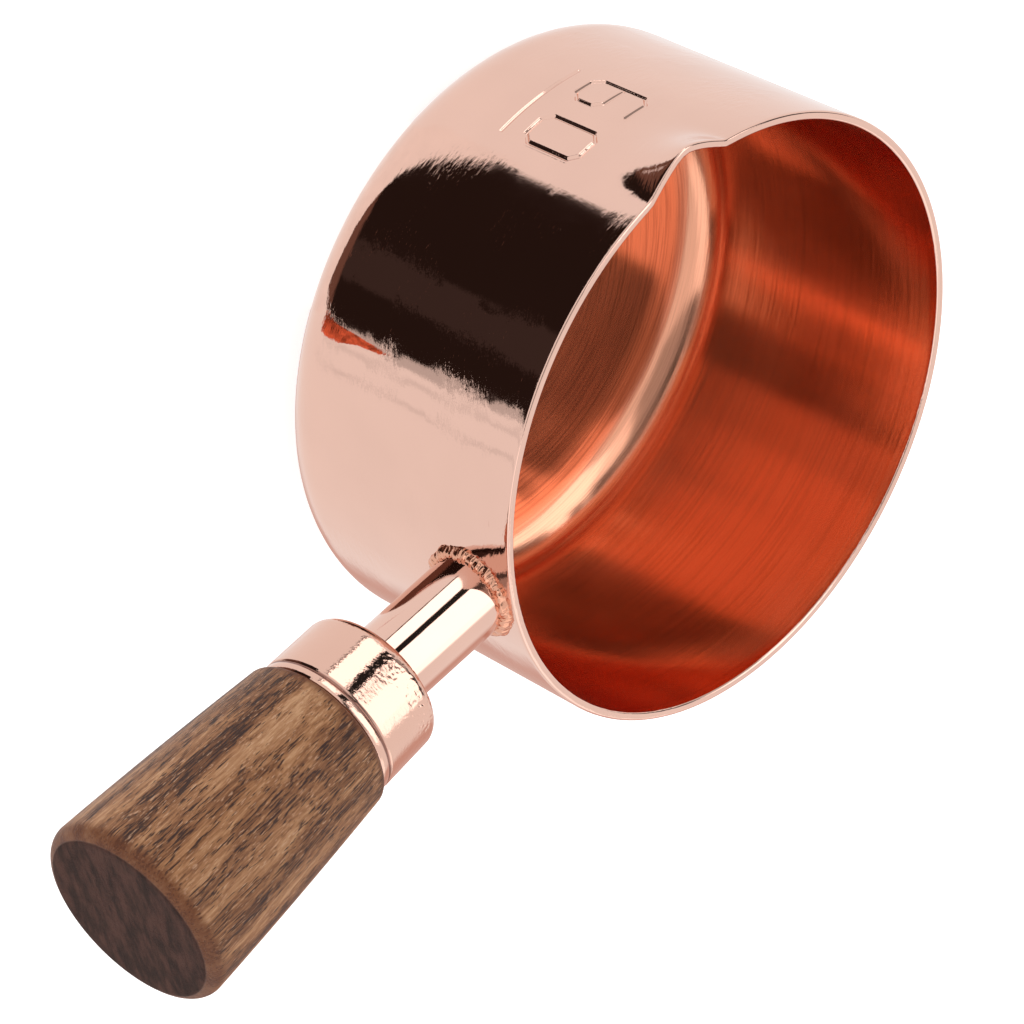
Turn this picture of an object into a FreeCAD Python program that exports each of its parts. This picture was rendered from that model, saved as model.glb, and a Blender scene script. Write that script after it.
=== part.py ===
import FreeCAD, Part
import math
import os

# A 60 mL measuring cup used behind a bar: a drawn metal cup with a pouring lip, a short neck
# welded to its wall, a ferrule, and a turned wooden grip held on a threaded stud.
# Millimetres. The origin is the centre of the base, +Z goes up through the mouth,
# the grip points along +X and the pouring lip is on the -Y side.

# Cup
cup_radius = 28.0               # outside of the wall at the rim
cup_height = 28.4
wall_draft = 1.2                # degrees that the wall leans outwards
sheet = 0.8                     # thickness of the wall and the base
base_corner = 5.0               # outside radius between the base and the wall
rim_rounding = 0.2              # on both edges of the rim

# Pouring lip, pressed out of the rim
lip_reach = 2.0                 # how far its tip stands out of the wall
lip_width = 9.8
lip_depth = 6.0                 # how far it runs down the wall
lip_turn = -2.7                 # degrees that it is turned from the -Y direction

# Grip line: the straight centre line of the ferrule, the stud and the grip
grip_line_height = 22.9         # where it meets the wall
grip_line_side = -0.5           # it passes a little to the -Y side of the cup's axis
grip_tilt = 2.6                 # degrees that it rises away from the cup

# Neck, welded on by hand, so its foot is a little off the grip line
neck_radius = 3.8
neck_wall = 1.0
neck_foot_side = 0.3            # towards +Y
neck_foot_rise = 0.35
neck_seat_depth = 0.6           # how far its far end sits in the ferrule
weld_reach = 0.8                # how far the weld bead spreads along the wall and the neck
braze_reach = 0.5

# Ferrule, with distances measured along the grip line from the wall
ferrule_start = 12.0
ferrule_length = 7.7
ferrule_front_radius = 6.84
ferrule_rear_radius = 6.99
ferrule_shoulder = 1.25
ferrule_front_wall = 1.6
ferrule_wall = 0.8

# Stud: M4 coarse thread
stud_radius = 2.0
stud_length = 19.0
thread_pitch = 0.7
thread_depth = 0.43
stud_plain_length = 1.6         # the unthreaded end that is welded to the ferrule
stud_weld_reach = 0.8

# Grip
grip_length = 24.0              # the part that shows behind the ferrule
grip_front_radius = 7.5
grip_rear_radius = 9.18
grip_crown = 0.1                # how far its side bows out at mid length
grip_front_rounding = 0.6
grip_rear_rounding = 1.4
tenon_gap = 1.2                 # between the tenon's end and the inside of the ferrule
tenon_glue = 0.15               # thickness of the glue round the tenon
stud_glue = 0.3                 # thickness of the glue round the stud

# Worked out from the sizes above
ferrule_end = ferrule_start + ferrule_length
ferrule_floor = ferrule_start + ferrule_front_wall
ferrule_bore_radius = ferrule_front_radius - ferrule_wall
tenon_radius = ferrule_bore_radius - tenon_glue
tenon_start = ferrule_floor + tenon_gap
stud_end = ferrule_floor + stud_length
bore_end = stud_end + stud_glue
bore_radius = stud_radius + stud_glue
overlap = 2.0                   # how far a shape runs past the one that trims it

up = FreeCAD.Vector(0, 0, 1)
origin = FreeCAD.Vector(0, 0, 0)
tilt = math.radians(grip_tilt)
grip_direction = FreeCAD.Vector(math.cos(tilt), 0, math.sin(tilt))
grip_line_start = FreeCAD.Vector(cup_radius, grip_line_side, grip_line_height)
neck_foot = grip_line_start + FreeCAD.Vector(0, neck_foot_side, neck_foot_rise)
neck_end = grip_line_start + grip_direction * (ferrule_start + neck_seat_depth)
neck_direction = (neck_end - neck_foot).normalize()


def line(start, end):
    """A straight edge between two (radius, height) points."""
    return Part.makeLine(FreeCAD.Vector(start[0], 0, start[1]), FreeCAD.Vector(end[0], 0, end[1]))


def arc(start, middle, end):
    """An arc through three (radius, height) points."""
    points = [FreeCAD.Vector(point[0], 0, point[1]) for point in (start, middle, end)]
    return Part.Arc(*points).toShape()


def corner(centre, radius, first_angle, last_angle):
    """A rounded corner about a (radius, height) centre, from one angle to another in degrees."""
    points = []
    for angle in (first_angle, (first_angle + last_angle) / 2, last_angle):
        turn = math.radians(angle)
        points.append((centre[0] + radius * math.cos(turn), centre[1] + radius * math.sin(turn)))
    return arc(*points)


def turned(edges):
    """A solid of revolution about Z from a closed outline."""
    return Part.Face(Part.Wire(edges)).revolve(origin, up, 360)


def turned_polygon(points):
    """A solid of revolution about Z from the corners of an outline."""
    return turned([line(start, end) for start, end in zip(points, points[1:] + points[:1])])


def on_grip_line(shape):
    """Move a shape made about Z so that its heights become distances along the grip line."""
    shape.Placement = FreeCAD.Placement(grip_line_start, FreeCAD.Rotation(up, grip_direction))
    return shape


def on_neck_line(shape):
    """Move a shape made about Z so that its heights become distances along the neck."""
    shape.Placement = FreeCAD.Placement(neck_foot, FreeCAD.Rotation(up, neck_direction))
    return shape


def wall_radius(rim_radius, height):
    """The radius of the leaning wall at a height, from its radius at the rim."""
    return rim_radius - (cup_height - height) * math.tan(math.radians(wall_draft))


def beaker(rim_radius, floor, bottom_corner):
    """A solid block with the leaning wall and a rounded bottom edge, up to the rim."""
    draft = math.radians(wall_draft)
    foot_height = floor + bottom_corner * (1 - math.sin(draft))
    foot_radius = wall_radius(rim_radius, foot_height)
    centre = (foot_radius - bottom_corner * math.cos(draft), floor + bottom_corner)
    return turned([
        line((0, cup_height), (0, floor)),
        line((0, floor), (centre[0], floor)),
        corner(centre, bottom_corner, -90, -wall_draft),
        line((foot_radius, foot_height), (rim_radius, cup_height)),
        line((rim_radius, cup_height), (0, cup_height)),
    ])


def cup_block():
    """The outside of the cup as a solid block, which trims what is welded to it."""
    return beaker(cup_radius, 0, base_corner)


def lip_wedge(radius):
    """The wedge that presses the pouring lip out of a wall of the given radius at the rim."""
    half = lip_width / 2
    side = math.sqrt(radius ** 2 - half ** 2)
    left = FreeCAD.Vector(-half, -side, cup_height)
    right = FreeCAD.Vector(half, -side, cup_height)
    tip = FreeCAD.Vector(0, -radius - lip_reach, cup_height)
    foot_height = cup_height - lip_depth
    foot = FreeCAD.Vector(0, -wall_radius(radius, foot_height), foot_height)
    triangles = [(left, tip, right), (left, foot, tip), (tip, foot, right), (right, foot, left)]
    faces = [Part.Face(Part.makePolygon([a, b, c, a])) for a, b, c in triangles]
    wedge = Part.Solid(Part.Shell(faces))
    if wedge.Volume < 0:
        wedge.reverse()
    wedge.rotate(origin, up, lip_turn)
    return wedge


def cup_shell():
    outside = cup_block().fuse(lip_wedge(cup_radius))
    inside_radius = cup_radius - sheet
    inside = beaker(inside_radius, sheet, base_corner - sheet).fuse(lip_wedge(inside_radius))
    shell = outside.cut(inside).removeSplitter()
    rim = [edge for edge in shell.Edges if edge.BoundBox.ZMin > cup_height - 0.01]
    return shell.makeFillet(rim_rounding, rim)


def neck_rod():
    """The outside of the neck, from inside the cup's wall to its seat in the ferrule."""
    length = (neck_end - neck_foot).Length
    rod = Part.makeCylinder(neck_radius, length + overlap, FreeCAD.Vector(0, 0, -overlap))
    return on_neck_line(rod)


def neck_tube():
    length = (neck_end - neck_foot).Length
    bore = Part.makeCylinder(neck_radius - neck_wall, length + overlap, FreeCAD.Vector(0, 0, -overlap))
    return neck_rod().cut(on_neck_line(bore)).cut(cup_block())


def neck_weld():
    """A round bead in the corner between the wall and the neck."""
    bead = Part.makeTorus(neck_radius + 0.1, weld_reach)
    return on_neck_line(bead).cut(neck_rod()).cut(cup_block())


def ferrule():
    front = ferrule_front_radius - ferrule_shoulder
    cap = turned([
        line((0, ferrule_floor), (0, ferrule_start)),
        line((0, ferrule_start), (front, ferrule_start)),
        corner((front, ferrule_start + ferrule_shoulder), ferrule_shoulder, -90, 0),
        line(
            (ferrule_front_radius, ferrule_start + ferrule_shoulder),
            (ferrule_rear_radius, ferrule_end),
        ),
        line((ferrule_rear_radius, ferrule_end), (ferrule_bore_radius, ferrule_end)),
        line((ferrule_bore_radius, ferrule_end), (ferrule_bore_radius, ferrule_floor)),
        line((ferrule_bore_radius, ferrule_floor), (0, ferrule_floor)),
    ])
    return on_grip_line(cap).cut(neck_rod())


def ferrule_braze():
    """The thin ring of filler where the neck enters the ferrule."""
    face = (neck_end - neck_foot).Length - neck_seat_depth
    thin = neck_radius + 0.05
    ring = turned_polygon([
        (neck_radius - 0.1, face - braze_reach),
        (thin, face - braze_reach),
        (neck_radius + braze_reach, face),
        (neck_radius + braze_reach, face + braze_reach),
        (neck_radius - 0.1, face + braze_reach),
    ])
    return on_neck_line(ring).cut(neck_rod()).cut(ferrule())


def grip_stud():
    """The stud, with its thread cut as closed rings of the right pitch and depth."""
    root = stud_radius - thread_depth
    outline = [(0, ferrule_floor), (stud_radius, ferrule_floor)]
    height = ferrule_floor + stud_plain_length
    while height < stud_end - thread_pitch:
        outline.append((stud_radius, height))
        outline.append((root, height + thread_pitch / 2))
        height += thread_pitch
    outline += [(stud_radius, height), (root, stud_end), (0, stud_end)]
    return on_grip_line(turned_polygon(outline))


def stud_weld():
    ring = turned_polygon([
        (stud_radius, ferrule_floor),
        (stud_radius + stud_weld_reach, ferrule_floor),
        (stud_radius, ferrule_floor + stud_weld_reach),
    ])
    return on_grip_line(ring)


def stud_adhesive():
    """The glue that fills the bore of the grip round the stud and past its end."""
    sleeve = turned_polygon([
        (stud_radius, tenon_start),
        (bore_radius, tenon_start),
        (bore_radius, bore_end),
        (0, bore_end),
        (0, stud_end),
        (stud_radius, stud_end),
    ])
    return on_grip_line(sleeve)


def tenon_adhesive():
    sleeve = turned_polygon([
        (tenon_radius, tenon_start),
        (ferrule_bore_radius, tenon_start),
        (ferrule_bore_radius, ferrule_end),
        (tenon_radius, ferrule_end),
    ])
    return on_grip_line(sleeve)


def wood_grip():
    """The turned grip: a tenon inside the ferrule, and a crowned taper to the rounded end."""
    rear = ferrule_end + grip_length
    front_centre = (grip_front_radius - grip_front_rounding, ferrule_end + grip_front_rounding)
    rear_centre = (grip_rear_radius - grip_rear_rounding, rear - grip_rear_rounding)
    middle_radius = (grip_front_radius + grip_rear_radius) / 2 + grip_crown
    middle = (front_centre[1] + rear_centre[1]) / 2
    grip = turned([
        line((bore_radius, bore_end), (bore_radius, tenon_start)),
        line((bore_radius, tenon_start), (tenon_radius, tenon_start)),
        line((tenon_radius, tenon_start), (tenon_radius, ferrule_end)),
        line((tenon_radius, ferrule_end), (front_centre[0], ferrule_end)),
        corner(front_centre, grip_front_rounding, -90, 0),
        arc(
            (grip_front_radius, front_centre[1]),
            (middle_radius, middle),
            (grip_rear_radius, rear_centre[1]),
        ),
        corner(rear_centre, grip_rear_rounding, 0, 90),
        line((rear_centre[0], rear), (0, rear)),
        line((0, rear), (0, bore_end)),
        line((0, bore_end), (bore_radius, bore_end)),
    ])
    return on_grip_line(grip)


makers = [
    cup_shell,
    neck_tube,
    neck_weld,
    ferrule,
    ferrule_braze,
    grip_stud,
    stud_weld,
    stud_adhesive,
    tenon_adhesive,
    wood_grip,
]

os.makedirs("parts", exist_ok=True)
for make in makers:
    make().exportStep("parts/" + make.__name__ + ".step")
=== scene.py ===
import math

import bpy
import numpy as np
from mathutils import Matrix, Vector, noise


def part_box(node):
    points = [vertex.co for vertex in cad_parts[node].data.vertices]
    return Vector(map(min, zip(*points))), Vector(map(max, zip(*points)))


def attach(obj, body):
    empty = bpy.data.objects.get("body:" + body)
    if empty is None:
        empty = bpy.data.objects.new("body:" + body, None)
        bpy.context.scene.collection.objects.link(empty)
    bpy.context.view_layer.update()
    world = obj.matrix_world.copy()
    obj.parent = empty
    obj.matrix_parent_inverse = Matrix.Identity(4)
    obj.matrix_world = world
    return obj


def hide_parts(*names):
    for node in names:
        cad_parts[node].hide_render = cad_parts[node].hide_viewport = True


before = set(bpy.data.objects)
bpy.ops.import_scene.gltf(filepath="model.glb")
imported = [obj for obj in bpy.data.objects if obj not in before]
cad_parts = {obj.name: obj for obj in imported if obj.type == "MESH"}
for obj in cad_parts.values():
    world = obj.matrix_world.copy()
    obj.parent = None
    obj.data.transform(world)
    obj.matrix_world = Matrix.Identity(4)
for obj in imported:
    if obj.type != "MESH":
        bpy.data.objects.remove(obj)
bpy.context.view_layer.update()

# ---------------------------------------------------------------- sizes, in metres and radians
mm = 0.001

cup_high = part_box("cup_shell")[1]
cup_radius = cup_high.x                  # outside of the wall at the rim
cup_height = cup_high.z
wall_draft = math.radians(1.2)
sheet = 0.8 * mm
base_corner = 5.0 * mm
rim_rounding = 0.22 * mm
wall_top = cup_height - rim_rounding
wall_wave = 0.012 * mm                   # how far the wall wanders from a true circle
fan_radius = 0.5 * mm                    # the middle of the base and the floor is a fan of triangles

lip_angle = math.radians(-92.7)
lip_slope = 0.5                          # of its two flanks, at the rim
lip_half_width = 4.8 * mm
lip_depth = 8.4 * mm
lip_tip_radius = 0.9 * mm

marking_low = 9.6 * mm                   # the wall has a fine mesh between these heights
marking_high = 21.0 * mm
marking_left = math.radians(-111.5)      # and between these angles
marking_right = math.radians(-78.0)
marking_middle = math.radians(-94)

grip_tilt = math.radians(2.6)
grip_line_start = Vector((cup_radius, -0.5 * mm, 22.9 * mm))
grip_direction = Vector((math.cos(grip_tilt), 0, math.sin(grip_tilt)))
neck_foot = grip_line_start + Vector((0, 0.3 * mm, 0.35 * mm))
neck_radius = 3.8 * mm
neck_wall = 1.0 * mm
neck_seat_depth = 0.6 * mm
ferrule_start = 12.0 * mm
ferrule_length = 7.7 * mm
ferrule_end = ferrule_start + ferrule_length
ferrule_front_radius = 6.84 * mm
ferrule_rear_radius = 6.99 * mm
ferrule_shoulder = 1.25 * mm
ferrule_wall = 0.8 * mm
ferrule_edge_rounding = 0.42 * mm
groove_start = ferrule_end - 1.3 * mm    # a shallow groove turned near the ferrule's rear edge
groove_end = groove_start + 0.5 * mm
casting_wave = 0.006 * mm
pit_depth = 0.04 * mm
neck_bead_size = 0.78 * mm
ferrule_bead_size = 0.30 * mm
grip_length = 24.0 * mm
grip_front_radius = 7.5 * mm
grip_rear_radius = 9.18 * mm
grip_crown = 0.1 * mm
grip_front_rounding = 0.6 * mm
grip_rear_rounding = 1.4 * mm
grip_end = ferrule_end + grip_length
grip_face_start = 5.0 * mm               # the grip's front face starts inside the ferrule
neck_end = grip_line_start + grip_direction * (ferrule_start + neck_seat_depth)
neck_direction = (neck_end - neck_foot).normalized()
pit_angle = math.radians(110)            # middle of the ferrule's pitted side, from +Y towards +Z

camera_target = Vector((18.95 * mm, -0.32 * mm, 19.79 * mm))
camera_distance = 596.6 * mm
camera_azimuth = math.radians(-56.114)
camera_elevation = math.radians(35.537)
camera_roll = math.radians(116.654)
camera_lens = 246.1                      # in millimetres, as is the sensor
camera_sensor = 36

bright_copper = (0.80, 0.515, 0.42)
pale_paper = (1.0, 0.98, 0.97)

# What the metal mirrors: azimuths and elevations in degrees, strength of red, green and blue or of
# all three, and softness of the edges in degrees
surroundings = [
    ((-20, 117), (26, 50), 1.42, 6),         # wide light over the grip
    ((-107, -14), (30, 46), 0.10, 6),        # the dark side of the room, behind the camera
    ((-80, -14), (44, 80), 0.50, 8),
    ((-205, -162), (22, 47), 0.10, 8),
    ((-160, -112), (18, 41), 0.35, 5),
    ((-112, -84), (46, 75), 1.5, 8),
    ((-189, -112), (42, 72), 2.2, 2),        # softbox above
    ((-212, -187), (50, 68), 2.1, 10),
    ((-131, -120), (28.5, 38), 2.2, 1.5),
    ((-137, -123), (37, 43), 2.2, 1.5),
    ((-137, -105), (16.5, 28), 0.02, 1.2),   # gap between the softboxes
    ((-129, -108), (-11.5, 15.5), 2.2, 1.5),  # softbox at the side
    ((-137, -105), (-14.2, -11.8), 0.12, 0.5),
    ((88, 130), (-50, 17), (0.70, 0.47, 0.41), 18),              # warm shade past the grip
    ((-102, -23.3), (-80, -22), (0.020, 0.012, 0.010), 1),      # dark flag in front of the wall
    ((-102, -23.3), (-80, -50), (0.16, 0.085, 0.065), 5),
    ((-54.9, -39.2), (-50, -22), (0.046, 0.032, 0.029), 2),      # a paler band on the flag
    ((-23.3, -19.5), (-50, -18), 0.62, 1),                       # faint bands beside the flag
    ((-16.6, -14.6), (-50, -18), 0.84, 0.8),
    ((-6.8, -5.2), (-50, -18), 0.82, 0.7),
]


# ---------------------------------------------------------------- shader nodes
def add(tree, kind, inputs=None, **settings):
    """A shader node. Its inputs are numbers, tuples or the sockets of other nodes."""
    node = tree.nodes.new(kind)
    for name, value in settings.items():
        setattr(node, name, value)
    for key, value in (inputs or {}).items():
        socket = node.inputs[key]
        if isinstance(value, bpy.types.NodeSocket):
            tree.links.new(value, socket)
        else:
            socket.default_value = value
    return node


def maths(tree, operation, first, second=0.0):
    return add(tree, "ShaderNodeMath", {0: first, 1: second}, operation=operation).outputs[0]


def ramp(tree, factor, stops):
    """A colour ramp from a list of (position, colour)."""
    node = add(tree, "ShaderNodeValToRGB", {"Fac": factor})
    elements = node.color_ramp.elements
    while len(elements) < len(stops):
        elements.new(0.5)
    for element, (position, colour) in zip(elements, stops):
        element.position = position
        element.color = (*colour, 1.0)
    return node.outputs["Color"]


def mixed_colour(tree, factor, first, second):
    """Two colours, each a tuple or a socket, mixed by a factor."""
    node = add(tree, "ShaderNodeMix", {"Factor": factor}, data_type="RGBA")
    for socket, colour in ((node.inputs[6], first), (node.inputs[7], second)):
        if isinstance(colour, bpy.types.NodeSocket):
            tree.links.new(colour, socket)
        else:
            socket.default_value = (*colour, 1.0)
    return node.outputs[2]


def smooth_step(tree, value, low, high):
    """0 at low, 1 at high, and eased between them."""
    return add(
        tree,
        "ShaderNodeMapRange",
        {"Value": value, "From Min": low, "From Max": high},
        interpolation_type="SMOOTHSTEP",
    ).outputs["Result"]


def noise_texture(tree, vector, scale, detail=2.0, roughness=0.5):
    settings = {"Vector": vector, "Scale": scale, "Detail": detail, "Roughness": roughness}
    return add(tree, "ShaderNodeTexNoise", settings).outputs["Fac"]


def object_position(tree):
    return add(tree, "ShaderNodeTexCoord").outputs["Object"]


def bump(tree, height_in_microns):
    node = add(tree, "ShaderNodeBump", {"Height": height_in_microns, "Distance": 1e-6, "Strength": 1.0})
    return node.outputs["Normal"]


def new_material(name):
    material = bpy.data.materials.new(name)
    material.use_nodes = True
    tree = material.node_tree
    tree.nodes.clear()
    shader = add(tree, "ShaderNodeBsdfPrincipled")
    output = add(tree, "ShaderNodeOutputMaterial")
    tree.links.new(shader.outputs[0], output.inputs["Surface"])
    return material, tree, shader


# ---------------------------------------------------------------- materials
def round_coordinates(tree, around, along):
    """Coordinates that follow the cup: `around` per radian and `along` per metre, with no seam."""
    x, y, z = add(tree, "ShaderNodeSeparateXYZ", {"Vector": object_position(tree)}).outputs
    squares = maths(tree, "ADD", maths(tree, "MULTIPLY", x, x), maths(tree, "MULTIPLY", y, y))
    radius = maths(tree, "SQRT", squares)
    safe = maths(tree, "MAXIMUM", radius, 1e-5)
    vector = add(tree, "ShaderNodeCombineXYZ", {
        "X": maths(tree, "MULTIPLY", maths(tree, "DIVIDE", x, safe), around),
        "Y": maths(tree, "MULTIPLY", maths(tree, "DIVIDE", y, safe), around),
        "Z": maths(tree, "MULTIPLY", maths(tree, "ADD", z, radius), along),
    })
    return vector.outputs[0]


def grip_coordinates(tree):
    """Object coordinates turned so that X is the distance along the grip line."""
    ends = {0: object_position(tree), 1: tuple(grip_line_start)}
    moved = add(tree, "ShaderNodeVectorMath", ends, operation="SUBTRACT")
    turned = add(
        tree,
        "ShaderNodeVectorRotate",
        {"Vector": moved.outputs[0], "Angle": grip_tilt},
        rotation_type="Y_AXIS",
    )
    return turned.outputs[0]


def scaled(tree, vector, scale):
    return add(tree, "ShaderNodeMapping", {"Vector": vector, "Scale": scale}).outputs[0]


def copper(name, colour, roughness, layers, spread=0.03):
    """Plated copper. Each layer of unevenness is (coordinates, depth in microns, patchy or not)."""
    material, tree, shader = new_material(name)
    clouds = noise_texture(tree, object_position(tree), 110.0, 2.0, 0.5)
    patches = smooth_step(tree, noise_texture(tree, object_position(tree), 190.0, 2.0), 0.40, 0.62)
    tone = ramp(tree, clouds, [
        (0.3, tuple(0.97 * c for c in colour)),
        (0.7, tuple(min(1.0, 1.02 * c) for c in colour)),
    ])
    height = 0.0
    for make_coordinates, depth, patchy in layers:
        lines = noise_texture(tree, make_coordinates(tree), 1.0, 3.0, 0.6)
        if patchy:
            lines = maths(tree, "MULTIPLY", lines, patches)
        height = maths(tree, "ADD", height, maths(tree, "MULTIPLY", lines, depth))
    rough = add(tree, "ShaderNodeMapRange", {
        "Value": clouds,
        "From Min": 0.3,
        "From Max": 0.7,
        "To Min": max(0.0, roughness - spread),
        "To Max": roughness + spread,
    })
    tree.links.new(tone, shader.inputs["Base Color"])
    tree.links.new(rough.outputs["Result"], shader.inputs["Roughness"])
    tree.links.new(bump(tree, height), shader.inputs["Normal"])
    shader.inputs["Metallic"].default_value = 1.0
    return material, tree, shader, tone


def outside_copper():
    """Bright plating with short uneven lines from polishing round the cup."""
    return copper("outside_copper", bright_copper, 0.05, [
        (lambda tree: round_coordinates(tree, 22.0, 2600.0), 34.0, True),
        (lambda tree: round_coordinates(tree, 60.0, 5200.0), 3.0, False),
    ])[0]


def inside_copper_painted_shade():
    """Brushed round the inside, so that reflections spread up and down the wall."""
    # Its colour is darker and redder than the outside's plating: painted shade for the light that bounces
    # round inside the cup.
    material, tree, shader, tone = copper("inside_copper_painted_shade", (0.80, 0.37, 0.235), 0.16, [
        (lambda tree: round_coordinates(tree, 3.0, 1300.0), 16.0, False),
        (lambda tree: round_coordinates(tree, 6.0, 3600.0), 6.0, False),
    ])
    lines = noise_texture(tree, round_coordinates(tree, 1.5, 3400.0), 1.0, 4.0, 0.7)
    height = add(tree, "ShaderNodeSeparateXYZ", {"Vector": object_position(tree)}).outputs[2]
    on_floor = maths(tree, "MULTIPLY", smooth_step(tree, height, 1.5 * mm, 0.9 * mm), 0.30)
    strength = maths(tree, "ADD", on_floor, 0.20)
    dull = maths(tree, "MULTIPLY", smooth_step(tree, lines, 0.44, 0.64), strength)
    tone = mixed_colour(tree, dull, tone, (0.34, 0.13, 0.085))
    tree.links.new(tone, shader.inputs["Base Color"])
    tangent = add(tree, "ShaderNodeTangent", direction_type="RADIAL", axis="Z")
    tree.links.new(tangent.outputs[0], shader.inputs["Tangent"])
    shader.inputs["Anisotropic"].default_value = 0.7
    shader.inputs["Anisotropic Rotation"].default_value = 0.25
    return material


def neck_copper():
    return copper("neck_copper", bright_copper, 0.05, [
        (lambda tree: scaled(tree, grip_coordinates(tree), (250, 1500, 1500)), 3.0, False),
    ])[0]


def ferrule_copper():
    """Cast and plated, and rougher than the neck. Its shoulder and its groove carry painted shade."""
    material, tree, shader, tone = copper("ferrule_copper", (0.78, 0.485, 0.385), 0.07, [
        (lambda tree: scaled(tree, grip_coordinates(tree), (3000, 1700, 1700)), 22.0, False),
        (lambda tree: scaled(tree, grip_coordinates(tree), (400, 400, 400)), 20.0, False),
    ])
    along = add(tree, "ShaderNodeSeparateXYZ", {"Vector": grip_coordinates(tree)}).outputs[0]
    shoulder = smooth_step(tree, along, ferrule_start + 0.9 * mm, ferrule_start + 0.2 * mm)
    after_start = smooth_step(tree, along, groove_start, groove_start + 0.15 * mm)
    before_end = smooth_step(tree, along, groove_end, groove_end - 0.15 * mm)
    groove = maths(tree, "MULTIPLY", after_start, before_end)
    # Painted shade: the shoulder by the neck is tinted a darker red, and the turned groove is darkened.
    tone = mixed_colour(tree, maths(tree, "MULTIPLY", shoulder, 0.75), tone, (0.60, 0.25, 0.15))
    tone = mixed_colour(tree, maths(tree, "MULTIPLY", groove, 0.85), tone, (0.20, 0.08, 0.06))
    tree.links.new(tone, shader.inputs["Base Color"])
    return material


def bead_copper():
    return copper("bead_copper", (0.74, 0.37, 0.25), 0.12, [
        (lambda tree: scaled(tree, object_position(tree), (2100, 2100, 2100)), 55.0, False),
    ], 0.05)[0]


def walnut():
    """Open-pored brown wood along the grip, under a satin lacquer."""
    material, tree, shader = new_material("walnut")
    place = grip_coordinates(tree)
    wave = noise_texture(tree, scaled(tree, place, (70, 160, 160)), 1.0, 2.0)
    sway = add(tree, "ShaderNodeVectorMath", {0: place, 1: add(tree, "ShaderNodeCombineXYZ", {
        "Y": maths(tree, "MULTIPLY", wave, 1.4 * mm),
        "Z": maths(tree, "MULTIPLY", wave, -1.1 * mm),
    }).outputs[0]}, operation="ADD").outputs[0]
    broad = noise_texture(tree, scaled(tree, sway, (22, 420, 420)), 1.0, 3.0, 0.6)
    fibres = noise_texture(tree, scaled(tree, sway, (190, 3600, 3600)), 1.0, 5.0, 0.75)
    pores = noise_texture(tree, scaled(tree, sway, (480, 6400, 6400)), 1.0, 2.0, 0.5)
    specks = noise_texture(tree, scaled(tree, sway, (1100, 7800, 7800)), 1.0, 2.0, 0.5)
    figure = maths(tree, "ADD", maths(tree, "MULTIPLY", broad, 0.52), maths(tree, "MULTIPLY", fibres, 0.48))
    colour = ramp(tree, figure, [
        (0.36, (0.050, 0.017, 0.007)),
        (0.44, (0.112, 0.040, 0.015)),
        (0.50, (0.205, 0.083, 0.033)),
        (0.56, (0.315, 0.145, 0.062)),
        (0.65, (0.47, 0.26, 0.135)),
    ])
    colour = mixed_colour(
        tree,
        maths(tree, "MULTIPLY", smooth_step(tree, specks, 0.60, 0.68), 0.6),
        colour,
        (0.52, 0.31, 0.19),
    )
    grouped = maths(tree, "ADD", pores, maths(tree, "MULTIPLY", maths(tree, "SUBTRACT", 0.5, broad), 0.55))
    pore_mask = smooth_step(tree, grouped, 0.55, 0.62)
    colour = mixed_colour(tree, maths(tree, "MULTIPLY", pore_mask, 0.9), colour, (0.030, 0.012, 0.009))
    along = add(tree, "ShaderNodeSeparateXYZ", {"Vector": place}).outputs[0]
    front_edge = smooth_step(tree, along, ferrule_end + 1.1 * mm, ferrule_end + 0.2 * mm)
    rear_edge = smooth_step(tree, along, grip_end - 1.7 * mm, grip_end - 0.6 * mm)
    edge = maths(tree, "MULTIPLY", maths(tree, "MAXIMUM", front_edge, rear_edge), 0.8)
    colour = mixed_colour(tree, edge, colour, (0.120, 0.036, 0.013))
    end_face = smooth_step(tree, along, grip_end - 0.12 * mm, grip_end - 0.04 * mm)
    worn = noise_texture(tree, scaled(tree, place, (500, 260, 900)), 1.0, 3.0, 0.7)
    end_grain = ramp(tree, worn, [(0.38, (0.012, 0.004, 0.003)), (0.62, (0.058, 0.022, 0.016))])
    colour = mixed_colour(tree, maths(tree, "MULTIPLY", end_face, 0.9), colour, end_grain)
    sunk = maths(tree, "MULTIPLY", pore_mask, 36.0)
    height = maths(tree, "SUBTRACT", maths(tree, "MULTIPLY", fibres, 26.0), sunk)
    tree.links.new(colour, shader.inputs["Base Color"])
    tree.links.new(bump(tree, height), shader.inputs["Normal"])
    satin = add(tree, "ShaderNodeMapRange", {"Value": fibres, "To Min": 0.36, "To Max": 0.56})
    rough = maths(tree, "MAXIMUM", satin.outputs["Result"], maths(tree, "MULTIPLY", end_face, 0.8))
    tree.links.new(rough, shader.inputs["Roughness"])
    shader.inputs["Specular IOR Level"].default_value = 0.25
    return material


def plain_finish(name, colour, roughness, metallic):
    """A finish with slight mottling, for the pieces inside the grip."""
    material, tree, shader = new_material(name)
    mottle = noise_texture(tree, object_position(tree), 900.0, 3.0)
    tone = ramp(tree, mottle, [(0.3, tuple(0.85 * c for c in colour)), (0.7, colour)])
    tree.links.new(tone, shader.inputs["Base Color"])
    tree.links.new(bump(tree, maths(tree, "MULTIPLY", mottle, 8.0)), shader.inputs["Normal"])
    shader.inputs["Roughness"].default_value = roughness
    shader.inputs["Metallic"].default_value = metallic
    return material


def finish_hidden_nodes():
    steel = plain_finish("machined_steel", (0.56, 0.56, 0.57), 0.3, 1.0)
    glue = plain_finish("cured_epoxy", (0.62, 0.50, 0.30), 0.4, 0.0)
    finishes = {"grip_stud": steel, "stud_weld": steel, "stud_adhesive": glue, "tenon_adhesive": glue}
    for name, material in finishes.items():
        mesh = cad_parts[name].data
        mesh.materials.clear()
        mesh.materials.append(material)


# ---------------------------------------------------------------- mesh helpers
def straight(start, end, count):
    """Points from start up to, but not including, end."""
    return [tuple(np.array(start) + (np.array(end) - np.array(start)) * i / count) for i in range(count)]


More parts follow.
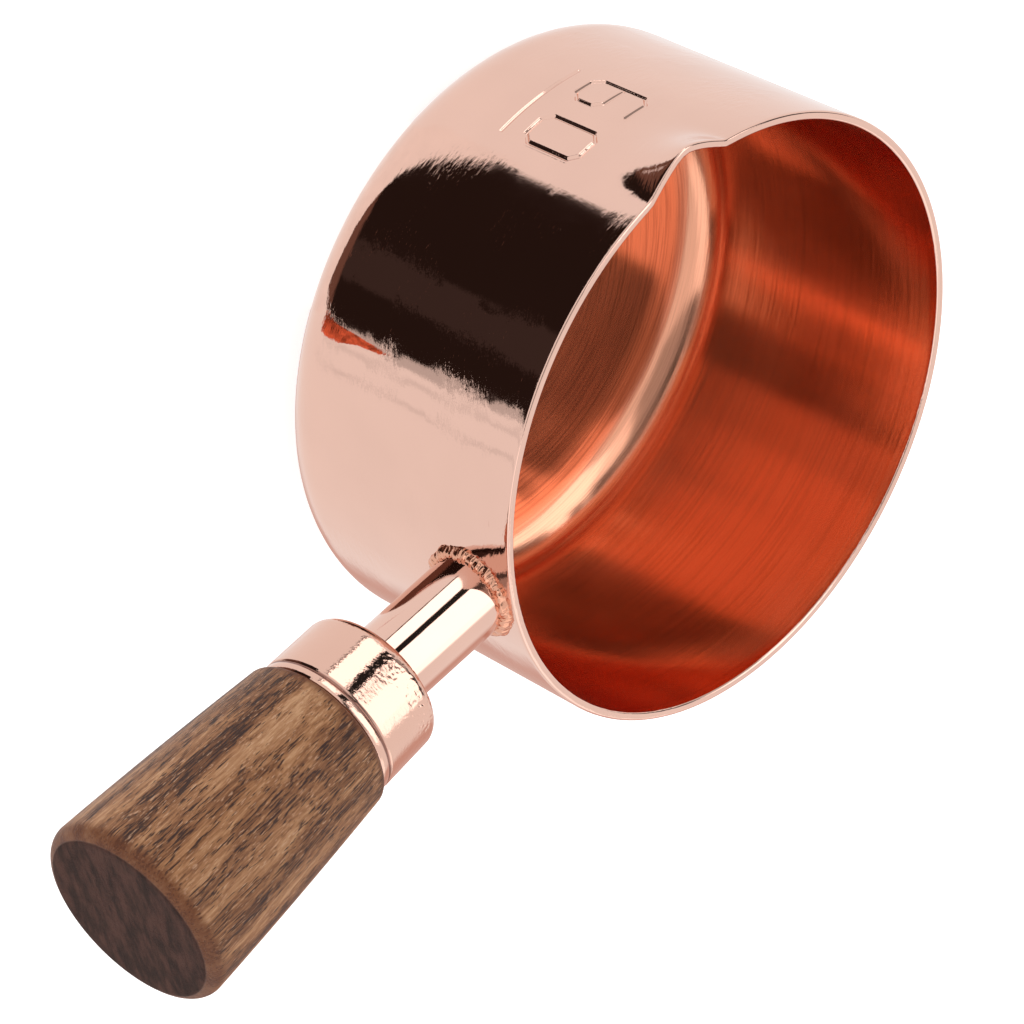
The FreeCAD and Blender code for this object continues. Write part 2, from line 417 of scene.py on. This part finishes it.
def rounded(centre, radius, first, last, count):
    """Points round a corner, angles in degrees, not including the last."""
    points = []
    for i in range(count):
        angle = math.radians(first + (last - first) * i / count)
        points.append((centre[0] + radius * math.cos(angle), centre[1] + radius * math.sin(angle)))
    return points


def grid_faces(rows, columns, first=0):
    """Quads of a grid of rings that close round, one ring after another."""
    faces = []
    for i in range(rows - 1):
        for j in range(columns):
            k = (j + 1) % columns
            a = first + i * columns
            faces.append((a + j, a + k, a + columns + k, a + columns + j))
    return faces


def add_piece(name, points, faces, materials, node, face_material=None):
    mesh = bpy.data.meshes.new(name)
    mesh.from_pydata([tuple(p) for p in points], [], faces)
    mesh.polygons.foreach_set("use_smooth", [True] * len(mesh.polygons))
    for material in materials:
        mesh.materials.append(material)
    if face_material is not None:
        mesh.polygons.foreach_set("material_index", face_material)
    mesh.validate()
    piece = bpy.data.objects.new(name, mesh)
    bpy.context.scene.collection.objects.link(piece)
    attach(piece, "root")
    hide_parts(node)
    return piece


def placement(start, direction):
    """From a shape made about Z to one about a line, with its +X side to the cup's +Y side."""
    side = Vector((0, 1, 0))
    side = (side - direction * side.dot(direction)).normalized()
    rotation = Matrix((side, direction.cross(side), direction)).transposed().to_4x4()
    return Matrix.Translation(start) @ rotation


def lathe(profile, columns, place, shift=None):
    """Points and faces of a turned skin. shift(angle, height) moves its surface outwards."""
    points = []
    for radius, height in profile:
        for j in range(columns):
            angle = 2 * math.pi * j / columns
            r = radius if shift is None else radius + shift(angle, height)
            points.append(place @ Vector((r * math.cos(angle), r * math.sin(angle), height)))
    return points, grid_faces(len(profile), columns)


# ---------------------------------------------------------------- marking on the wall
def stroke(*corners):
    """Straight strokes through (across, height) points, in millimetres."""
    return [(Vector(a), Vector(b)) for a, b in zip(corners, corners[1:])]


def marking():
    """A plain capacity number over a level line, as (depth and half width in millimetres, strokes)."""
    six = stroke(
        (-1.6, 19.2), (-4.2, 19.2), (-5.0, 18.4), (-5.0, 13.8), (-4.2, 13.0),
        (-2.2, 13.0), (-1.4, 13.8), (-1.4, 15.4), (-2.2, 16.2), (-5.0, 16.2),
    )
    zero = stroke(
        (2.2, 13.0), (1.4, 13.8), (1.4, 18.4), (2.2, 19.2), (4.2, 19.2),
        (5.0, 18.4), (5.0, 13.8), (4.2, 13.0), (2.2, 13.0),
    )
    level = stroke((-5.0, 10.8), (5.0, 10.8))
    return [(0.20, 0.26, six + zero), (0.12, 0.23, level)]


def distance_to(start, end, across, height):
    """Distances in millimetres from arrays of points to a straight stroke."""
    run = end - start
    along = ((across - start.x) * run.x + (height - start.y) * run.y) / run.length_squared
    along = np.clip(along, 0, 1)
    return np.hypot(across - start.x - along * run.x, height - start.y - along * run.y)


def engraving(angles, height):
    """How far the marking moves the wall outwards at one height: grooves with a slight raised edge."""
    across = (angles - marking_middle) * cup_radius / mm
    height = np.full_like(across, height / mm)
    move = np.zeros_like(across)
    for depth, half, strokes in marking():
        distance = np.min([distance_to(a, b, across, height) for a, b in strokes], axis=0)
        groove = -0.5 * depth * (1 + np.cos(np.pi * np.clip(distance / half, 0, 1)))
        edge = 0.10 * depth * np.exp(-((distance / half - 1.25) / 0.4) ** 2)
        move = np.where(groove < -1e-6, np.minimum(move, groove), move) + edge
    return move * mm


# ---------------------------------------------------------------- cup
def lip_bulge(angles, height):
    """How far the pouring lip pushes the wall out: a sharp fold at the rim, softer below."""
    t = min(max((cup_height - height) / lip_depth, 0.0), 1.0)
    slope = lip_slope * (0.5 + 0.5 * math.cos(math.pi * t)) ** 0.75
    tip = lip_tip_radius + 4.6 * mm * t
    half = lip_half_width - 1.6 * mm * t
    crease = (0.14 + 1.0 * t) * mm
    side = np.abs((angles - lip_angle + np.pi) % (2 * np.pi) - np.pi) * cup_radius
    ridge = math.hypot(half, tip) - np.sqrt(side ** 2 + tip ** 2)
    return slope * crease * np.log1p(np.exp(np.clip(ridge / crease, -40, 40)))


def unevenness(angles, height):
    """The wall isn't perfectly round. These slow waves make its reflections wander."""
    waves = [noise.noise(Vector((5.2 * math.cos(a), 5.2 * math.sin(a), height * 150))) for a in angles]
    return wall_wave * np.array(waves)


def ring(radius, height, angles):
    out = radius + lip_bulge(angles, height)
    return np.stack([out * np.cos(angles), out * np.sin(angles), np.full_like(angles, height)], 1)


def wall_radius(rim_radius, height):
    return rim_radius - (cup_height - height) * math.tan(wall_draft)


def cup_columns():
    """Angles round the outside: fine where the marking and the lip are, coarser elsewhere."""
    fine = np.linspace(marking_left, marking_right, 198)[:-1]
    coarse = np.linspace(marking_right, marking_left + 2 * math.pi, 201)[:-1]
    return np.concatenate([fine, coarse])


def corner_outline(rim_radius, floor, radius, count):
    """The rounded edge between the base and the wall, and the foot of the wall."""
    foot_height = floor + radius * (1 - math.sin(wall_draft))
    foot_radius = wall_radius(rim_radius, foot_height)
    centre = (foot_radius - radius * math.cos(wall_draft), floor + radius)
    return rounded(centre, radius, -90, -math.degrees(wall_draft), count), (foot_radius, foot_height)


def outer_outline():
    """The outside as (radius, height), from the middle of the base to the rim, and the wall's foot."""
    edge, foot = corner_outline(cup_radius, 0, base_corner, 16)
    low = (wall_radius(cup_radius, marking_low), marking_low)
    high = (wall_radius(cup_radius, marking_high), marking_high)
    outline = straight((fan_radius, 0), edge[0], 6) + edge
    outline += straight(foot, low, 8)
    outline += straight(low, high, 127)
    outline += straight(high, (cup_radius, wall_top), 26)
    outline += rounded((cup_radius - rim_rounding, wall_top), rim_rounding, 0, 90, 5)
    outline += [(cup_radius - rim_rounding, cup_height), (cup_radius - 0.45 * sheet, cup_height)]
    return outline, foot[1]


def inner_outline(rim_rows):
    """The inside as (radius, height), from the rim to the middle of the floor."""
    bore = cup_radius - sheet
    edge, foot = corner_outline(bore, sheet, base_corner - sheet, 14)
    outline = [(cup_radius - 0.55 * sheet, cup_height)]
    outline += rounded((bore + rim_rounding, wall_top), rim_rounding, 90, 180, rim_rows - 1)
    outline += straight((bore, wall_top), foot, 26)
    outline += [foot] + edge[::-1]
    outline += straight(edge[0], (fan_radius, sheet), 10)[1:] + [(fan_radius, sheet)]
    return outline


def make_cup():
    rim_rows = 6                         # rows of the inside that are plated like the outside
    outer, foot_height = outer_outline()
    inner = inner_outline(rim_rows)
    outer_angles = cup_columns()
    inner_angles = np.linspace(marking_left, marking_left + 2 * math.pi, 241)[:-1]
    n, m = len(outer_angles), len(inner_angles)
    points = [(0, 0, 0)]
    faces = [(0, 1 + (j + 1) % n, 1 + j) for j in range(n)]
    for radius, height in outer:
        if foot_height < height < wall_top:
            move = unevenness(outer_angles, height)
            if marking_low < height < marking_high:
                move += engraving(outer_angles, height)
            radius = radius + move
        points += list(ring(radius, height, outer_angles))
    faces += grid_faces(len(outer), n, 1)
    first_inner = len(points)
    for radius, height in inner:
        points += list(ring(radius, height, inner_angles))
    faces += zipped(first_inner - n, outer_angles, first_inner, inner_angles)
    outside_faces = len(faces) + rim_rows * m
    faces += grid_faces(len(inner), m, first_inner)
    last_inner = len(points) - m
    centre = len(points)
    points.append((0, 0, sheet))
    faces += [(centre, last_inner + j, last_inner + (j + 1) % m) for j in range(m)]
    which = [0 if i < outside_faces else 1 for i in range(len(faces))]
    materials = [outside_copper(), inside_copper_painted_shade()]
    return add_piece("cup", points, faces, materials, "cup_shell", which)


def zipped(first_a, angles_a, first_b, angles_b):
    """Triangles between two rings with different numbers of points that start at the same angle."""
    faces = []
    i = j = 0
    n, m = len(angles_a), len(angles_b)
    turn = 2 * math.pi
    while i < n or j < m:
        next_a = angles_a[i + 1] if i + 1 < n else angles_a[0] + turn
        next_b = angles_b[j + 1] if j + 1 < m else angles_b[0] + turn
        a, b = first_a + i % n, first_b + j % m
        if j >= m or (i < n and next_a <= next_b):
            faces.append((a, first_a + (i + 1) % n, b))
            i += 1
        else:
            faces.append((a, first_b + (j + 1) % m, b))
            j += 1
    return faces


# ---------------------------------------------------------------- neck, ferrule, grip
def wall_reach(point):
    """How far along X the outside of the wall is at a point's side and height."""
    return math.sqrt(wall_radius(cup_radius, point.z) ** 2 - point.y ** 2)


def make_neck():
    place = placement(neck_foot, neck_direction)
    length = (neck_end - neck_foot).length
    inside = -0.5 * mm                   # it starts within the thickness of the cup's wall
    profile = straight((neck_radius, inside), (neck_radius, length), 50) + [(neck_radius, length)]
    bore = neck_radius - neck_wall
    profile += [(bore, length), (bore, inside), (neck_radius, inside)]
    points, faces = lathe(profile, 180, place)
    return add_piece("neck", points, faces, [neck_copper()], "neck_tube")


def bead_ring(name, node, place, ring_radius, size, lump, ripples, on_wall):
    """A lumpy bead of weld or filler round the neck."""
    around, across = 300, 40
    points = []
    for i in range(around):
        angle = 2 * math.pi * i / around
        spot = Vector((math.cos(angle), math.sin(angle), 0))
        for j in range(across):
            turn = 2 * math.pi * j / across
            slow = noise.noise(spot * 4.3 + Vector((0, 0, 0.9 * math.sin(turn))))
            fast = noise.noise(spot * 14 + Vector((0, 0, 1.6 * math.sin(turn))))
            ripple = abs(math.sin(angle * ripples + 2.5 * slow))
            thick = size * (1 + lump * slow + 0.45 * lump * fast + 0.07 * (ripple - 0.6))
            r = ring_radius + thick * math.cos(turn)
            p = place @ Vector((r * math.cos(angle), r * math.sin(angle), thick * math.sin(turn)))
            if on_wall:
                wall = wall_reach(p)
                p.x = max(p.x + wall - neck_foot.x, wall - 0.3 * mm)
            points.append(p)
    faces = []
    for i in range(around):
        for j in range(across):
            a, b = i * across, ((i + 1) % around) * across
            k = (j + 1) % across
            faces.append((a + j, a + k, b + k, b + j))
    return add_piece(name, points, faces, [bead_copper()], node)


def make_beads():
    bead_ring(
        "neck_bead", "neck_weld", placement(neck_foot, neck_direction),
        neck_radius, neck_bead_size, 0.38, 19, True,
    )
    face = neck_end - neck_direction * neck_seat_depth
    bead_ring(
        "ferrule_bead", "ferrule_braze", placement(face, neck_direction),
        neck_radius, ferrule_bead_size, 0.5, 7, False,
    )


def make_ferrule():
    place = placement(grip_line_start, grip_direction)
    front = ferrule_front_radius - ferrule_shoulder
    bore = ferrule_front_radius - ferrule_wall
    profile = [(neck_radius - 0.2 * mm, ferrule_start)]
    profile += straight((neck_radius, ferrule_start), (front, ferrule_start), 8)
    profile += rounded((front, ferrule_start + ferrule_shoulder), ferrule_shoulder, -90, 0, 18)
    shoulder_end = (ferrule_front_radius, ferrule_start + ferrule_shoulder)
    profile += straight(shoulder_end, (ferrule_rear_radius, groove_start), 50)
    profile += [
        (ferrule_rear_radius, groove_start),
        (ferrule_rear_radius - 0.06 * mm, groove_start + 0.06 * mm),
        (ferrule_rear_radius - 0.12 * mm, groove_start + 0.16 * mm),
        (ferrule_rear_radius - 0.10 * mm, groove_start + 0.28 * mm),
        (ferrule_rear_radius - 0.02 * mm, groove_start + 0.40 * mm),
        (ferrule_rear_radius, groove_end),
        (ferrule_rear_radius, ferrule_end - ferrule_edge_rounding),
    ]
    edge_centre = (ferrule_rear_radius - ferrule_edge_rounding, ferrule_end - ferrule_edge_rounding)
    profile += rounded(edge_centre, ferrule_edge_rounding, 8, 90, 9)
    profile += [
        (edge_centre[0], ferrule_end),
        (bore, ferrule_end),
        (bore, ferrule_start + 1.6 * mm),
    ]
    points, faces = lathe(profile, 360, place, ferrule_skin)
    return add_piece("ferrule_cap", points, faces, [ferrule_copper()], "ferrule")


def ferrule_skin(angle, height):
    """Casting waves all over and pits on the front of the lower side."""
    spot = Vector((math.cos(angle), math.sin(angle), 0)) * 6.9
    wave = casting_wave * noise.noise(spot * 0.9 + Vector((0, 0, height / mm * 0.9)))
    low_side = smooth(math.cos(angle - pit_angle), 0.70, 0.95)
    near_front = smooth(height, ferrule_start + 4.2 * mm, ferrule_start + 1.6 * mm)
    grain = noise.noise(spot * 3.6 + Vector((0, 0, height / mm * 3.6)))
    pit = smooth(grain, 0.14, 0.42) * low_side * near_front
    return wave - pit_depth * pit


def smooth(value, low, high):
    t = min(max((value - low) / (high - low), 0.0), 1.0)
    return t * t * (3 - 2 * t)


def make_grip():
    place = placement(grip_line_start, grip_direction)
    columns = 240
    front_height = ferrule_end + grip_front_rounding
    rear_height = grip_end - grip_rear_rounding
    profile = [(grip_face_start, ferrule_end), (5.8 * mm, ferrule_end)]
    profile += straight((6.0 * mm, ferrule_end), (grip_front_radius - grip_front_rounding, ferrule_end), 4)
    front_centre = (grip_front_radius - grip_front_rounding, front_height)
    profile += rounded(front_centre, grip_front_rounding, -90, 0, 8)
    steps = 60
    for i in range(steps):
        t = i / steps
        r = grip_front_radius + (grip_rear_radius - grip_front_radius) * t + 4 * grip_crown * t * (1 - t)
        profile.append((r, front_height + (rear_height - front_height) * t))
    profile += rounded((grip_rear_radius - grip_rear_rounding, rear_height), grip_rear_rounding, 0, 90, 16)
    face_middle = (0.1 * mm, grip_end)
    profile += straight((grip_rear_radius - grip_rear_rounding, grip_end), face_middle, 14)
    profile.append(face_middle)
    points, faces = lathe(profile, columns, place)
    centre = len(points)
    points.append(place @ Vector((0, 0, grip_end)))
    last = centre - columns
    faces += [(centre, last + j, last + (j + 1) % columns) for j in range(columns)]
    return add_piece("grip", points, faces, [walnut()], "wood_grip")


# ---------------------------------------------------------------- studio
def mirrored_from(wall_angle, height, run=None):
    """What the wall shows in its mirror at an angle in degrees and a height in millimetres.

    It is where the mirrored sight line meets the floor, or its point at a level distance of run
    metres from the wall."""
    a = math.radians(wall_angle)
    outwards = Vector((math.cos(a), math.sin(a), 0))
    start = outwards * wall_radius(cup_radius, height * mm) + Vector((0, 0, height * mm))
    normal = Vector((outwards.x, outwards.y, -math.tan(wall_draft))).normalized()
    sight = (start - camera_position()).normalized()
    mirrored = sight - 2 * sight.dot(normal) * normal
    if run is None:
        return start - mirrored * (start.z / mirrored.z)
    return start + mirrored * (run / math.hypot(mirrored.x, mirrored.y))


def reflected_card(name, outline, colour, streaks, lift=0.0):
    """A flat card that only reflections see. Its brightness varies by the fraction `streaks`."""
    mesh = bpy.data.meshes.new(name)
    mesh.from_pydata([(p.x, p.y, p.z + lift) for p in outline], [], [tuple(range(len(outline)))])
    card = bpy.data.objects.new(name, mesh)
    bpy.context.scene.collection.objects.link(card)
    material = bpy.data.materials.new(name)
    material.use_nodes = True
    tree = material.node_tree
    tree.nodes.clear()
    grain = noise_texture(tree, object_position(tree), 600.0, 4.0, 0.7)
    tone = ramp(tree, grain, [
        (0.35, tuple(c * (1 - streaks) for c in colour)),
        (0.65, tuple(c * (1 + streaks) for c in colour)),
    ])
    emission = add(tree, "ShaderNodeEmission", {"Color": tone})
    output = add(tree, "ShaderNodeOutputMaterial")
    tree.links.new(emission.outputs[0], output.inputs["Surface"])
    mesh.materials.append(material)
    card.visible_camera = False
    card.visible_diffuse = False
    card.visible_shadow = False
    card.visible_transmission = False


def camera_axes():
    """The camera's right, up and backward directions."""
    back = Vector((
        math.cos(camera_elevation) * math.cos(camera_azimuth),
        math.cos(camera_elevation) * math.sin(camera_azimuth),
        math.sin(camera_elevation),
    ))
    level = Vector((0, 0, 1)).cross(back).normalized()
    upright = back.cross(level)
    right = level * math.cos(camera_roll) + upright * math.sin(camera_roll)
    return right, back.cross(right), back


def camera_position():
    return camera_target + camera_axes()[2] * camera_distance


def on_circle(radius, angle):
    a = math.radians(angle)
    return Vector((radius * math.cos(a), radius * math.sin(a), 0))


def make_cards():
    """Cards by the foot of the wall. One on the floor hides the flag's lower edge. One stands up and
    is a warm glint, with a pale one behind it that hides it from the handle."""
    edge = ((-78, 15), (-77.3, 12.5), (-76.3, 10.3), (-74.2, 8), (-71.8, 6.2), (-68.5, 5.2))
    flag_edge = [mirrored_from(angle, height) for angle, height in edge]
    foot = [on_circle(29.4 * mm, -61), on_circle(28.5 * mm, -50)]
    foot += [on_circle(28.3 * mm, -43), on_circle(29.2 * mm, -38)]
    inside = [on_circle(20 * mm, angle) for angle in (-38, -60, -82)]
    left = [on_circle(28.3 * mm, -80), mirrored_from(-79.6, 8), mirrored_from(-79.3, 15.5)]
    reflected_card("pale_card", left + flag_edge + foot + inside, pale_paper, 0.03, 0.2 * mm)
    for name, run, colour, streaks in (
        ("orange_card", 3.0 * mm, (0.62, 0.13, 0.06), 0.9),
        ("card_backing", 3.3 * mm, pale_paper, 0.03),
    ):
        edge = ((-39.3, 6), (-38.9, 9.2), (-38.2, 11.9), (-37.7, 11.2), (-37.4, 8.6), (-36.3, 6.6))
        top = [mirrored_from(angle, height, run) for angle, height in edge]
        bottom = [Vector((p.x, p.y, 0.3 * mm)) for p in (top[-1], mirrored_from(-40.4, 5, run))]
        reflected_card(name, top + bottom, colour, streaks)


def make_floor():
    half = 1.5
    mesh = bpy.data.meshes.new("floor")
    corners = [(-half, -half, 0), (half, -half, 0), (half, half, 0), (-half, half, 0)]
    mesh.from_pydata(corners, [], [(0, 1, 2, 3)])
    floor = bpy.data.objects.new("floor", mesh)
    bpy.context.scene.collection.objects.link(floor)
    material, tree, shader = new_material("floor_paper")
    paper = noise_texture(tree, object_position(tree), 600.0, 3.0)
    tone = ramp(tree, paper, [(0.3, (0.62, 0.62, 0.62)), (0.7, (0.65, 0.65, 0.65))])
    tree.links.new(tone, shader.inputs["Base Color"])
    shader.inputs["Roughness"].default_value = 0.9
    shader.inputs["Emission Color"].default_value = (1, 1, 1, 1)
    shader.inputs["Emission Strength"].default_value = 0.75
    mesh.materials.append(material)
    floor.visible_glossy = False


def make_world():
    """Even light all round, with softboxes and dark gaps where the metal mirrors them.

    Only reflections and diffuse light see them: the camera sees plain white."""
    world = bpy.data.worlds.new("studio")
    bpy.context.scene.world = world
    world.use_nodes = True
    tree = world.node_tree
    tree.nodes.clear()
    direction = add(tree, "ShaderNodeTexCoord").outputs["Generated"]
    seam = math.radians(38)              # azimuths run from -218 to 142 degrees
    turn = {"Vector": direction, "Angle": seam}
    turned = add(tree, "ShaderNodeVectorRotate", turn, rotation_type="Z_AXIS")
    x, y, z = add(tree, "ShaderNodeSeparateXYZ", {"Vector": turned.outputs[0]}).outputs
    around = maths(tree, "DEGREES", maths(tree, "ARCTAN2", y, x))
    azimuth = maths(tree, "SUBTRACT", around, math.degrees(seam))
    elevation = maths(tree, "DEGREES", maths(tree, "ARCSINE", z))
    light = (1.0, 1.0, 1.0)
    for (first, last), (low, high), strength, soft in surroundings:
        edges = [
            smooth_step(tree, azimuth, first - soft / 2, first + soft / 2),
            smooth_step(tree, azimuth, last + soft / 2, last - soft / 2),
            smooth_step(tree, elevation, low - soft / 2, low + soft / 2),
            smooth_step(tree, elevation, high + soft / 2, high - soft / 2),
        ]
        mask = edges[0]
        for other in edges[1:]:
            mask = maths(tree, "MULTIPLY", mask, other)
        tint = strength if isinstance(strength, tuple) else (strength,) * 3
        light = mixed_colour(tree, mask, light, tint)
    camera_ray = add(tree, "ShaderNodeLightPath").outputs["Is Camera Ray"]
    shown = mixed_colour(tree, camera_ray, light, (1.0, 1.0, 1.0))
    background = add(tree, "ShaderNodeBackground", {"Color": shown, "Strength": 1.0})
    output = add(tree, "ShaderNodeOutputWorld")
    tree.links.new(background.outputs[0], output.inputs["Surface"])


def make_camera():
    right, upright, back = camera_axes()
    data = bpy.data.cameras.new("camera")
    data.sensor_width = camera_sensor
    data.lens = camera_lens
    data.clip_start = 0.01
    camera = bpy.data.objects.new("camera", data)
    bpy.context.scene.collection.objects.link(camera)
    rotation = Matrix((right, upright, back)).transposed().to_4x4()
    camera.matrix_world = Matrix.Translation(camera_position()) @ rotation
    bpy.context.scene.camera = camera


finish_hidden_nodes()
make_cup()
make_neck()
make_beads()
make_ferrule()
make_grip()
make_floor()
make_cards()
make_world()
make_camera()

scene = bpy.context.scene
scene.view_settings.view_transform = "Standard"
scene.cycles.max_bounces = 16
scene.cycles.glossy_bounces = 14
scene.cycles.use_denoising = True
